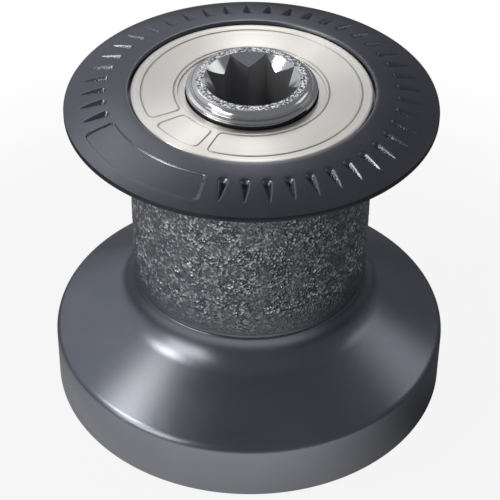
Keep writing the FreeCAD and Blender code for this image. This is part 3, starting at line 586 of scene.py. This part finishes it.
@dataclass
class Drum:
    """The turned drum: skirt, cone, hollow fillet, rough grip band and flared neck.

    From the top down, bore_steps gives the radius and foot of the drive ring's seat, the
    bearings' bore, the hub's recess and the holding ring's seat.
    """

    skirt_foot: float = 1.2
    skirt_radius: float = 54.4
    skirt_inner: float = 51.5
    shoulder: float = 3.0
    cone_angle: float = 30.0
    fillet: float = 10.4
    grip_radius: float = 32.0
    line_height: float = 36.6
    neck_start: float = 81.0
    neck_radius: float = 36.0
    neck_flare: tuple[tuple[float, float], ...] = ((33.4, 83.2), (34.9, 85.6))
    top: float = 88.0
    bore_steps: tuple[tuple[float, float], ...] = (
        (26.02, 79.0), (24.6, 20.1), (30.0, 18.0), (40.42, 10.0))
    edge: float = 0.4
    edge_cut: float = 0.12
    line_rise: float = 0.5
    line_cut: float = 0.18
    step_mm: float = 0.45
    relief: float = 0.2
    relief_fade: float = 4.0
    seed: int = 7

    def outline(self) -> Array:
        """The closed outline, outside going up.

        Returns:
            Points of (radius, height): the skirt's side, an arc over the shoulder, the cone,
            a hollow arc at the foot of the band, the band, the neck, then down the bore.
        """
        slope = math.radians(self.cone_angle)
        middle = (self.grip_radius + self.fillet, self.line_height)
        low = (middle[0] - self.fillet * math.sin(slope),
               middle[1] - self.fillet * math.cos(slope))
        brow_radius = self.skirt_radius - self.shoulder * (1 - math.sin(slope))
        side = low[1] - (brow_radius - low[0]) * math.tan(slope) - self.shoulder * math.cos(slope)
        skirt, foot = self.skirt_radius, self.skirt_foot
        lower = [(self.skirt_inner, foot), (skirt - self.edge, foot),
                 (skirt - self.edge_cut, foot + self.edge_cut), (skirt, foot + self.edge)]
        brow = arc((skirt - self.shoulder, side), self.shoulder, 0, 90 - self.cone_angle, 12)
        hollow = arc(middle, self.fillet, 270 - self.cone_angle, 180, 28)
        line = [(self.grip_radius - self.line_cut, self.line_height + self.line_rise / 2),
                (self.grip_radius, self.line_height + self.line_rise)]
        neck = [(self.grip_radius, self.neck_start), *self.neck_flare, (self.neck_radius, self.top)]
        bore, height = [], self.top
        for radius, step_foot in self.bore_steps:
            bore += [(radius, height), (radius, step_foot)]
            height = step_foot
        bore.append((self.skirt_inner, height))
        return np.concatenate([lower, brow, hollow, line, neck, bore])

    def build(self) -> None:
        """Build the drum, roughen its band and dress it."""
        band_foot = self.line_height + self.line_rise
        profile = finer(self.outline(), self.step_mm, band_foot, self.neck_start)
        columns = int(2 * math.pi * self.grip_radius / self.step_mm)
        angle = np.linspace(0.0, 2 * math.pi, columns, endpoint=False)[None, :]
        radius = profile[:, :1] + self.band_relief(profile, columns)
        points = around(radius, angle, profile[:, 1:])
        quads = grid_quads(len(profile), columns)
        obj = mesh_object("drum_shell", points, quads, sharp_above=40.0)
        seat(obj, Body.DRUM, "drum", "anodised", TurnedAnodised(), ChoppedGrip())
        near_band = np.abs(profile[:, 0] - self.grip_radius) < 0.3
        on_band = near_band & (profile[:, 1] > self.line_height + 1.0)
        rows = on_band & np.roll(on_band, -1)
        obj.data.polygons.foreach_set("material_index", np.repeat(rows, columns).astype(np.int32))

    def band_relief(self, profile: Array, columns: int) -> Array:
        """How far the grip band stands out at each grid place.

        Args:
            profile: the outline's points.
            columns: places round the drum.

        Returns:
            Seeded random heights, averaged with their neighbours, within plus or minus half
            the relief. They fade in over 4 mm above the ring line and out over the last
            millimetre below the neck.
        """
        height = profile[:, 1:]
        rough = np.random.default_rng(self.seed).random((len(profile), columns))
        rough = 0.6 * rough + 0.2 * np.roll(rough, 1, axis=1) + 0.2 * np.roll(rough, 1, axis=0)
        band = np.abs(profile[:, :1] - self.grip_radius) < 0.01
        foot = self.line_height + self.line_rise
        rise = smooth_step(height, foot, foot + self.relief_fade)
        fall = 1.0 - smooth_step(height, self.neck_start - 1.0, self.neck_start)
        return (rough - 0.5) * self.relief * rise * fall * band


@dataclass
class Crown:
    """The flange on top of the drum: a ring of tapered notches and a bare sunk panel.

    Each notch is the cut of a pointed cone drawn outwards and up: a round inner end, walls
    that slope down to the middle, and a width that closes to a point.
    """

    hole: float = 17.5
    seat_height: float = 88.0
    neck_radius: float = 36.0
    radius: float = 48.6
    rim_low: float = 89.2
    rim_high: float = 90.9
    lip_outer: float = 32.4
    lip_radius: float = 31.9
    lip_height: float = 95.0
    floor: float = 92.8
    dome: float = 75.0
    notch_start: float = 37.4
    notch_end: float = 44.3
    notch_half: float = 1.15
    notch_depth: float = 1.35
    notch_ease: float = 0.12
    pitch: float = 8.0
    first: float = 260.0
    count: int = 38
    panel_start: float = 202.5
    panel_sweep: float = 51.0
    panel_outer: float = 45.3
    panel_depth: float = 0.35
    panel_corner: float = 1.2
    edge: float = 0.4
    edge_cut: float = 0.12

    def dome_height(self, radius: Array) -> Array:
        """Height of the upper face: a straight fall from lip to rim, raised by a shallow arc.

        Args:
            radius: distance from the axis.

        Returns:
            The chord's height plus root(R^2 - d^2) - root(R^2 - c^2), where R is the arc's
            radius, c half the chord and d the distance from its middle.
        """
        inner, outer = self.lip_outer, self.radius - self.edge
        share = (radius - inner) / (outer - inner)
        chord = self.lip_height + share * (self.rim_high - self.lip_height)
        half = math.hypot(outer - inner, self.rim_high - self.lip_height) / 2
        from_middle = (share - 0.5) * 2 * half
        inside = np.clip(self.dome**2 - from_middle**2, 0, None)
        bulge = np.sqrt(inside) - math.sqrt(self.dome**2 - half**2)
        return chord + np.where((share >= 0) & (share <= 1), bulge, 0.0)

    def face_radii(self) -> Array:
        """Radii of the upper face's rows, rim first, close at the notches' round ends."""
        ends = np.linspace(self.notch_start - 0.3, self.notch_start + 1.3, 13)
        sides = np.linspace(self.notch_start + 1.55, self.notch_end, 17)
        panel_edge = self.panel_outer + np.array([-0.25, -0.12, 0.0, 0.12])
        plain = np.array([33.2, 34.4, 35.8, 36.6, 44.7, 46.2, 47.2])
        return np.sort(np.concatenate([ends, sides, panel_edge, plain]))[::-1]

    def half_width(self, radius: Array) -> Array:
        """Half width of a notch outside its round end: the full half width times (1 - t)^0.6.

        Args:
            radius: distance from the axis; t is 0 at the round end's centre, 1 at the tip.

        Returns:
            The half width, full inside the round end's centre.
        """
        centre = self.notch_start + self.notch_half
        along = np.clip((radius - centre) / (self.notch_end - centre), 0.0, 1.0)
        return self.notch_half * (1.0 - along) ** 0.6

    def columns(self, radius: Array) -> Array:
        """Angle of each grid place, bent so that columns follow each side of each notch.

        Args:
            radius: the rows' radii, as a column.

        Returns:
            Angles in radians, one row per radius: in each half sector three columns on the
            notch's wall, three at its edge, and the rest in even steps to the border.
        """
        half = np.maximum(self.half_width(radius), 0.3)
        border = math.radians(self.pitch / 2) * radius
        wall = [0 * half, 0.35 * half, 0.7 * half]
        near = np.concatenate([*wall, half, half + 0.15, half + 0.35], axis=1)
        steps = np.arange(1, 7)[None, :] / 7
        far = near[:, -1:] + steps * (border - near[:, -1:])
        side = np.concatenate([near, far], axis=1)
        across = np.concatenate([-border, -side[:, :0:-1], side], axis=1) / radius
        sectors = np.radians(self.first + self.pitch * np.arange(round(360 / self.pitch)))
        return (sectors[None, :, None] + across[:, None, :]).reshape(len(radius), -1)

    def sink(self, radius: Array, angle: Array) -> Array:
        """Depth of the notches and of the panel at each grid place.

        Args:
            radius: the rows' radii, as a column.
            angle: the grid's angles.

        Returns:
            In a notch the wall's slope times the distance d in from its edge, eased at the
            edge as (d + root(d^2 + e^2)) / 2; in the panel an even depth with a soft edge.
        """
        turn = np.degrees(angle) - self.first + self.pitch / 2
        number = np.floor(turn / self.pitch)
        offset = np.radians(turn - (number + 0.5) * self.pitch) * radius
        centre = self.notch_start + self.notch_half
        from_middle = np.hypot(offset, np.minimum(radius - centre, 0.0))
        inward = (self.half_width(radius) - from_middle) * self.notch_depth / self.notch_half
        inward = np.where(radius < self.notch_end, inward, -1.0)
        notch = 0.5 * (inward + np.sqrt(inward**2 + self.notch_ease**2)) * (inward > -0.6)
        middle = math.radians(self.panel_start + self.panel_sweep / 2)
        aside = np.mod(angle - middle + math.pi, 2 * math.pi) - math.pi
        mean = (self.notch_start + self.panel_outer) / 2
        box = (math.radians(self.panel_sweep / 2) * mean, (self.panel_outer - self.notch_start) / 2)
        distance = rounded_box_distance(aside * mean, radius - mean, box, self.panel_corner)
        panel = self.panel_depth * (1.0 - smooth_step(distance, -0.3, 0.05))
        return notch * (number < self.count) + panel

    def build(self) -> None:
        """Build the crown with notches and panel, and dress it."""
        top = self.face_radii()
        rim, low, high, lip_top = self.radius, self.rim_low, self.rim_high, self.lip_height
        under = [(self.hole, self.seat_height), (self.neck_radius, self.seat_height),
                 (rim - 0.25, low), (rim, low + 0.25), (rim, high - 0.45),
                 (rim - 0.1, high - self.edge_cut), (rim - self.edge, high)]
        face = np.stack([top, self.dome_height(top)], axis=1)
        lip = [(self.lip_outer, lip_top), (self.lip_outer - 0.3, lip_top - 0.02),
               (self.lip_radius, lip_top - 0.3), (self.lip_radius, self.floor),
               (self.hole, self.floor)]
        profile = np.concatenate([under, face, lip])
        radius, height = profile[:, :1], profile[:, 1:]
        angle = self.columns(radius)
        sunk = self.sink(radius, angle) * ((height > self.rim_high) & (radius > self.lip_outer))
        points = around(radius + 0 * angle, angle, height - sunk)
        quads = grid_quads(len(profile), angle.shape[1])
        obj = mesh_object("crown_flange", points, quads, sharp_above=38.0)
        point_share(obj, "cut", smooth_step(sunk, 0.4, 0.7))
        seat(obj, Body.DRUM, "crown", "anodised", SatinAnodised())


@dataclass
class DressPlate:
    """The bright plate over the crown's screws, with an etched band and a small bare frame."""

    hole: float = 17.3
    floor: float = 92.8
    top: float = 94.3
    radius: float = 31.35
    step_radius: float = 19.2
    step_depth: float = 0.4
    band_inner: float = 20.1
    band_outer: float = 28.6
    band_start: float = 247.5
    band_sweep: float = 319.4
    box_start: float = 213.1
    box_sweep: float = 28.5
    corner: float = 1.5
    line_half: float = 0.26
    line_depth: float = 0.12
    fine_step: float = 0.22
    plain_step: float = 0.8

    def build(self) -> None:
        """Build the plate, cut its lines and dress it."""
        from_line = np.array([-0.5, -0.35, -0.22, -0.1, 0.0, 0.1, 0.22, 0.4, 0.6, 0.85, 1.1, 1.4])
        inner = self.band_inner + from_line
        outer = self.band_outer - (inner[::-1] - self.band_inner)
        between = np.linspace(22.2, 26.6, 6)
        rows = np.concatenate([[19.35], inner, between, outer, [29.8, 30.6]])[::-1]
        rim, top, wall = self.radius, self.top, self.step_radius - 0.1
        edge = [(self.hole, self.floor), (rim, self.floor), (rim, top - 0.35),
                (rim - 0.1, top - 0.1), (rim - 0.35, top)]
        step = [(self.step_radius, top), (wall, top - 0.08), (wall, top - self.step_depth),
                (self.hole, top - self.step_depth)]
        face = np.stack([rows, np.full(len(rows), top)], axis=1)
        profile = np.concatenate([edge, face, step])
        angle = self.columns()
        radius = profile[:, :1]
        on_face = (profile[:, 1:] == top) & (radius > self.step_radius) & (radius < rim - 0.4)
        etched = self.lines(radius, angle) * on_face
        points = around(radius + 0 * angle, angle, profile[:, 1:] - self.line_depth * etched)
        quads = grid_quads(len(profile), angle.shape[1])
        obj = mesh_object("dress_plate_disc", points, quads, sharp_above=50.0)
        point_share(obj, "etched", etched)
        seat(obj, Body.DRUM, "dress_plate", "satin_plate", BrushedPlate())

    def columns(self) -> Array:
        """Angles of the columns, close together where the etched lines cross the band."""
        box_end = self.box_start + self.box_sweep
        wide = self.plain_step
        first = np.arange(self.box_start - 14.0, self.box_start + 7.0, self.fine_step)
        second = np.arange(box_end - 7.0, self.band_start + 8.0, self.fine_step)
        between = np.arange(first[-1] + wide, second[0] - wide / 2, wide)
        rest = np.arange(second[-1] + wide, first[0] + 360.0 - wide / 2, wide)
        return np.radians(np.concatenate([first, between, second, rest]))[None, :]

    def lines(self, radius: Array, angle: Array) -> Array:
        """1 on the etched lines and 0 off them: the soft edges of two rounded frames."""
        mean = (self.band_inner + self.band_outer) / 2
        frames = ((self.band_start, self.band_sweep), (self.box_start, self.box_sweep))
        cut = 0.0 * radius * angle
        for start, sweep in frames:
            middle = math.radians(start + sweep / 2)
            aside = np.mod(angle - middle + math.pi, 2 * math.pi) - math.pi
            half_sweep = math.radians(sweep / 2)
            across = (np.abs(aside) - half_sweep) * radius + half_sweep * mean
            box = (half_sweep * mean, (self.band_outer - self.band_inner) / 2)
            distance = np.abs(rounded_box_distance(across, radius - mean, box, self.corner))
            cut = np.maximum(cut, 1.0 - smooth_step(distance, self.line_half * 0.3, self.line_half))
        return cut


@dataclass
class SplitRing:
    """The two-turn ring that holds the drum down: flat wire wound in the spindle's groove."""

    inner: float = 15.2
    outer: float = 17.0
    bottom: float = 94.7
    wire: float = 0.5
    corner: float = 0.12
    gap: float = 0.08
    opening: float = 325.0
    turns: float = 1.98
    steps: int = 360

    def build(self) -> None:
        """Build the ring and dress it.

        A flat section with cut corners runs round the axis. It stays level for most of a turn
        and climbs by one wire over the last tenth.
        """
        out, cut, wire = self.outer, self.corner, self.wire
        section = np.array([(self.inner, 0.0), (out - cut, 0.0), (out, cut),
                            (out, wire - cut), (out - cut, wire), (self.inner, wire)])
        turn = np.linspace(0.0, self.turns, self.steps)
        whole = np.floor(turn)
        climb = np.minimum(whole + smooth_step(turn - whole, 0.9, 1.0), 1.0) * (wire + self.gap)
        angle = (math.radians(self.opening) + turn * 2 * math.pi)[None, :]
        points = around(section[:, :1] + 0 * angle, angle, self.bottom + section[:, 1:] + climb)
        end = np.array([(0, 1, 4, 5), (1, 2, 3, 4)]) * self.steps
        sides = grid_quads(len(section), self.steps, close_columns=False)
        quads = np.concatenate([sides, end, end[:, ::-1] + self.steps - 1])
        obj = mesh_object("retaining_ring_wire", points, quads, sharp_above=50.0)
        wire_finish = Grained("stainless_steel_drawn_flat_wire", "#d3d3d3", 0.2)
        seat(obj, Body.SPINDLE, "retaining_ring", "spring_steel", wire_finish)


@dataclass
class Spindle:
    """The spindle: a smooth head with its star socket, over a copy of the CAD shaft.

    The socket is two squares turned by 45 degrees, so its wall stands at the flat's distance
    divided by the cosine of 45 degrees less the angle from the nearest tip.
    """

    node: str = "spindle"
    neck: float = 15.1
    head: float = 15.9
    head_low: float = 95.9
    shoulder: float = 1.9
    top: float = 98.0
    mouth: float = 12.4
    rim_middle: float = 13.2
    flat: float = 8.73
    first_tip: float = 27.7
    socket_middle: float = 80.0
    socket_foot: float = 62.0
    drill_foot: float = 60.0
    drill_tip: float = 54.76
    spans: int = 8

    def build(self) -> None:
        """Build head and shaft, and dress them."""
        for obj in (self.build_head(), self.build_shaft()):
            seat(obj, Body.SPINDLE, self.node, "polished_bronze", PolishedHead())

    def build_head(self) -> bpy.types.Object:
        """The head's outside, rim, cone mouth, star walls and drilled foot, down to a point."""
        count = 16 * self.spans
        turn = np.arange(count) * 360.0 / count
        from_tip = 22.5 - np.abs(np.mod(turn, 45.0) - 22.5)
        wall = self.flat / np.cos(np.radians(45.0 - from_tip))
        mouth_foot = self.top - (self.mouth - wall)
        head, top, bend = self.head, self.top, self.shoulder
        outside = [(self.neck, self.head_low), (head, self.head_low),
                   *arc((head - bend, top - bend), bend, 0, 90, 14),
                   (self.rim_middle, top), (self.mouth, top)]
        even = np.ones(count)
        radii = [*(r * even for r, _ in outside), wall, wall, wall, self.flat * even,
                 self.flat * even]
        heights = [*(z * even for _, z in outside), mouth_foot, self.socket_middle * even,
                   self.socket_foot * even, self.socket_foot * even, self.drill_foot * even]
        angle = np.radians(self.first_tip + turn)[None, :]
        points = around(np.array(radii), angle, np.array(heights))
        last = (len(radii) - 1) * count + np.arange(count)
        pole = np.stack([last, np.roll(last, -1), np.full(count, len(points))], axis=1)
        points = np.concatenate([points, [(0.0, 0.0, self.drill_tip)]])
        quads = grid_quads(len(radii), count, close_rows=False)
        return mesh_object("spindle_head", points, quads, pole, sharp_above=30.0)

    def build_shaft(self) -> bpy.types.Object:
        """The CAD solid without its head, its triangles joined where their corners meet."""
        source = frame["nodes"][self.node].data
        source.calc_loop_triangles()
        places = np.empty(len(source.vertices) * 3, np.float32)
        source.vertices.foreach_get("co", places)
        corners = np.empty(len(source.loop_triangles) * 3, np.int32)
        source.loop_triangles.foreach_get("vertices", corners)
        rounded = np.round(places.reshape(-1, 3) / MM, 4)
        points, number = np.unique(rounded, axis=0, return_inverse=True)
        triangles = number.reshape(-1)[corners].reshape(-1, 3)
        centre = points[triangles].mean(axis=1)
        near_axis = np.hypot(centre[:, 0], centre[:, 1]) < self.mouth + 0.1
        socket = near_axis & (centre[:, 2] > self.drill_tip - 0.5)
        head = points[triangles][:, :, 2].min(axis=1) > self.head_low - 0.05
        no_quads = np.zeros((0, 4), int)
        kept = triangles[~socket & ~head]
        return mesh_object("spindle_shaft", points, no_quads, kept, sharp_above=34.0)


@dataclass
class HiddenPieces:
    """The pieces inside the drum, which keep their CAD shapes and get their finishes."""

    finishes: ClassVar[Mapping[str, Grained]] = {
        "cast_bronze": Grained("bronze_cast_and_machined", "#b39a6c", 0.36, grain_mm=0.8,
                               depth_mm=0.03),
        "hardened_steel": Grained("stainless_steel_hardened_ground", "#b9babb", 0.3, grain_mm=0.3),
        "spring_steel": Grained("stainless_steel_spring_drawn", "#c6c6c6", 0.25, grain_mm=0.3),
        "bearing_plastic": Grained("acetal_natural_moulded", "#d8d2c2", 0.45, metallic=0.0,
                                   grain_mm=1.0),
        "dark_washer": Grained("acetal_black_moulded", "#1b1a19", 0.5, metallic=0.0, grain_mm=1.0),
    }

    def dress(self) -> None:
        """Give each remaining CAD node the finish of its material slot."""
        slots = {part["node"]: part["material_slot"] for part in frame["record"]["subparts"]}
        shown = {name: obj for name, obj in frame["nodes"].items() if not obj.hide_render}
        used = sorted({slots[name] for name in shown})
        made = {slot: self.finishes[slot].make() for slot in used}
        for name, obj in shown.items():
            obj.data.materials.clear()
            obj.data.materials.append(made[slots[name]])
            LOG.info("%s keeps its CAD shape, in %s", name, made[slots[name]].name)


# Studio


@dataclass(frozen=True)
class Softbox:
    """A soft lamp that faces the winch.

    Its azimuth from +X and its elevation above the deck are in degrees, its distance, width
    and height in millimetres, and its power in watts.
    """

    name: str
    azimuth: float
    elevation: float
    distance: float
    width: float
    height: float
    power: float

    def place(self, target: Vector) -> None:
        """Put the lamp in the scene, facing the target."""
        lamp = bpy.data.lights.new(self.name, "AREA")
        lamp.shape = "RECTANGLE"
        lamp.size = self.width * MM
        lamp.size_y = self.height * MM
        lamp.energy = self.power
        obj = bpy.data.objects.new(self.name, lamp)
        obj.location = target + toward(self.azimuth, self.elevation) * self.distance * MM
        obj.rotation_euler = (target - obj.location).to_track_quat("-Z", "Y").to_euler()
        bpy.context.scene.collection.objects.link(obj)


def toward(azimuth: float, elevation: float) -> Vector:
    """The direction at an azimuth from +X and an elevation above the deck, in degrees."""
    flat = math.cos(math.radians(elevation))
    turn = math.radians(azimuth)
    height = math.sin(math.radians(elevation))
    return Vector((flat * math.cos(turn), flat * math.sin(turn), height))


@dataclass
class Studio:
    """Floor, sky, lamps and the camera."""

    aim_height: float = 41.0
    camera_distance: float = 503.0
    camera_elevation: float = 39.48
    camera_roll: float = 0.67
    lens: float = 131.3
    lamp_aim_height: float = 50.0
    floor_half: float = 3000.0
    floor_gap: float = 0.05
    sheet_radius: float = 90.0
    sheet_colour: str = "#a4a4a4"
    deck_colour: str = "#6e6e6e"
    shadow_share: float = 0.9
    painted_glow_azimuth: float = 250.0
    sky_colour: str = "#f0f3ff"
    sky_azimuth: float = 140.0
    sky_elevation: float = 15.0
    sky_strength: tuple[float, float] = (0.2, 0.6)

    def build(self) -> None:
        """Build everything round the winch."""
        self.floor()
        self.sky()
        target = Vector((0.0, 0.0, self.lamp_aim_height * MM))
        for box in (
            Softbox("key_left", 193.0, 40.0, 900.0, 260.0, 220.0, 1.9),
            Softbox("side_left", 216.0, 20.0, 1000.0, 600.0, 500.0, 2.6),
            Softbox("back_left", 126.0, 48.0, 1000.0, 400.0, 400.0, 0.38),
            Softbox("fill_right", 20.0, 31.0, 1000.0, 500.0, 300.0, 0.4),
            Softbox("back_strip", 90.0, 40.0, 900.0, 80.0, 620.0, 0.38),
        ):
            box.place(target)
        self.camera()

    def floor(self) -> None:
        """A grey sheet on a darker deck, white to the camera but for the winch's soft shadow.

        In reflections a painted pool of light glows on the sheet in front of the winch, a little to
        the camera's left, in place of lamp light on the paper, and the sheet stays grey elsewhere.
        """
        half, low = self.floor_half, -self.floor_gap
        points = np.array([(-half, -half, low), (half, -half, low),
                           (half, half, low), (-half, half, low)])
        obj = mesh_object("studio_floor", points, np.array([[0, 1, 2, 3]]))
        material = bpy.data.materials.new("paper_white_matt_on_grey")
        material.use_nodes = True
        tree = material.node_tree
        tree.nodes.clear()
        place = add(tree, "TexCoord").outputs["Object"]
        radius = add(tree, "VectorMath", [place], operation="LENGTH").outputs["Value"]
        edge = self.sheet_radius * MM
        near = spread(tree, radius, edge, 2 * edge, 1.0, 0.0, way="SMOOTHSTEP")
        tone = blend(tree, near, linear(self.deck_colour), linear(self.sheet_colour))
        matt = add(tree, "BsdfDiffuse", [tone]).outputs[0]
        glow = add(tree, "Emission", [WHITE, 1.0]).outputs[0]
        path = add(tree, "LightPath").outputs
        white = spread(tree, near, 0.0, 1.0, 1.0, self.shadow_share)
        seen = reckon(tree, "MULTIPLY", path["Is Camera Ray"], white)
        # Painted light: the sheet glows in front left, seen only in reflections, in place of lamp
        # light on the paper.
        front = add(tree, "VectorMath", [place, toward(self.painted_glow_azimuth, 0.0)],
                    operation="DOT_PRODUCT").outputs["Value"]
        lit = spread(tree, front, 0.0, edge, way="SMOOTHSTEP")
        painted_light_pool = reckon(tree, "MULTIPLY", near, lit)
        painted_pool_in_reflections = reckon(tree, "MULTIPLY", path["Is Glossy Ray"], painted_light_pool)
        share = reckon(tree, "MAXIMUM", seen, painted_pool_in_reflections)
        mixed = add(tree, "MixShader", [share, matt, glow]).outputs[0]
        add(tree, "OutputMaterial", [mixed])
        obj.data.materials.append(material)

    def sky(self) -> None:
        """A sky that is white to the camera, dim overhead and brighter low at the back left."""
        world = bpy.data.worlds.new("studio_sky")
        bpy.context.scene.world = world
        world.use_nodes = True
        tree = world.node_tree
        tree.nodes.clear()
        way = add(tree, "TexCoord").outputs["Generated"]
        brightest = toward(self.sky_azimuth, self.sky_elevation)
        facing = add(tree, "VectorMath", [way, brightest],
                     operation="DOT_PRODUCT").outputs["Value"]
        strength = spread(tree, facing, 0.35, 1.0, *self.sky_strength, way="SMOOTHSTEP")
        dim = linear(self.sky_colour)
        round_about = add(tree, "Background", [dim, strength]).outputs[0]
        white = add(tree, "Background", [WHITE, 1.0]).outputs[0]
        seen = add(tree, "LightPath").outputs["Is Camera Ray"]
        mixed = add(tree, "MixShader", [seen, round_about, white]).outputs[0]
        add(tree, "OutputWorld", [mixed])

    def camera(self) -> None:
        """The photograph's camera: in front and above, aimed at the axis, rolled a little."""
        lens = bpy.data.cameras.new("photo_camera")
        lens.sensor_width = 36.0
        lens.lens = self.lens
        lens.clip_start = 0.01
        lens.clip_end = 20.0
        obj = bpy.data.objects.new("photo_camera", lens)
        aim = Vector((0.0, 0.0, self.aim_height * MM))
        place = aim + toward(-90.0, self.camera_elevation) * self.camera_distance * MM
        facing = (aim - place).to_track_quat("-Z", "Y").to_matrix()
        roll = Matrix.Rotation(math.radians(self.camera_roll), 3, "Z")
        obj.matrix_world = Matrix.Translation(place) @ (facing @ roll).to_4x4()
        bpy.context.scene.collection.objects.link(obj)
        bpy.context.scene.camera = obj


def main() -> None:
    """Build every piece and the studio."""
    logging.basicConfig(level=logging.INFO, format="%(name)s: %(message)s")
    for piece in (Drum(), Crown(), DressPlate(), SplitRing(), Spindle()):
        piece.build()
    HiddenPieces().dress()
    Studio().build()
    bpy.context.scene.view_settings.view_transform = "Standard"


if __name__ == "__main__":
    main()
